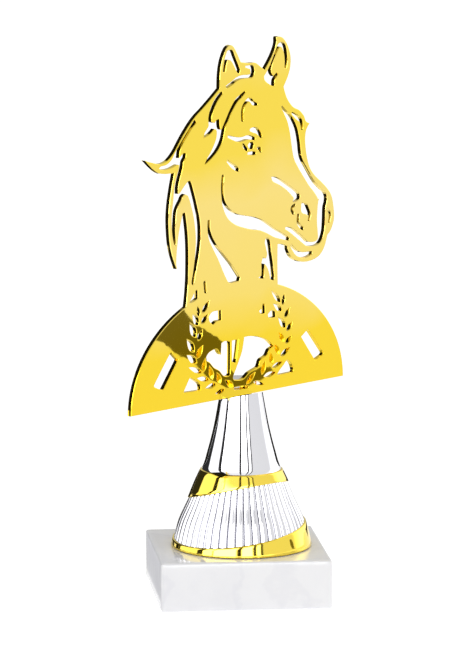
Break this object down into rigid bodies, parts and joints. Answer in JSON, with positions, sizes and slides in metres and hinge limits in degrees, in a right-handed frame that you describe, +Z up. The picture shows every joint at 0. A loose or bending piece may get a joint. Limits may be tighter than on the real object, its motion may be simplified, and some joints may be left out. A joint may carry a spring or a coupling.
{
  "type": "equestrian trophy",
  "caption": "Small sports trophy: a flat pierced horse-head plate over a laurel half disc, on a reeded riser and a square marble base.",
  "frame": {"origin": "middle of the base's underside", "axes": "+Z up; -Y out of the front face of the base; +X to the right seen from the front. The figure plate is turned 41 degrees about +Z, its right end away from the front, and the riser stands 1.5 mm to the right of the base's middle"},
  "size_m": [0.0984, 0.086, 0.2294],
  "materials": {
    "base_marble": "polished white marble",
    "riser_plating": "moulded plastic with mirror silver plating and two gold bands",
    "figure_plating": "moulded plastic with mirror gold plating"
  },
  "bodies": {
    "root": {"stone_base": "base_marble", "riser": "riser_plating", "figure_plate": "figure_plating"}
  },
  "joints": []
}
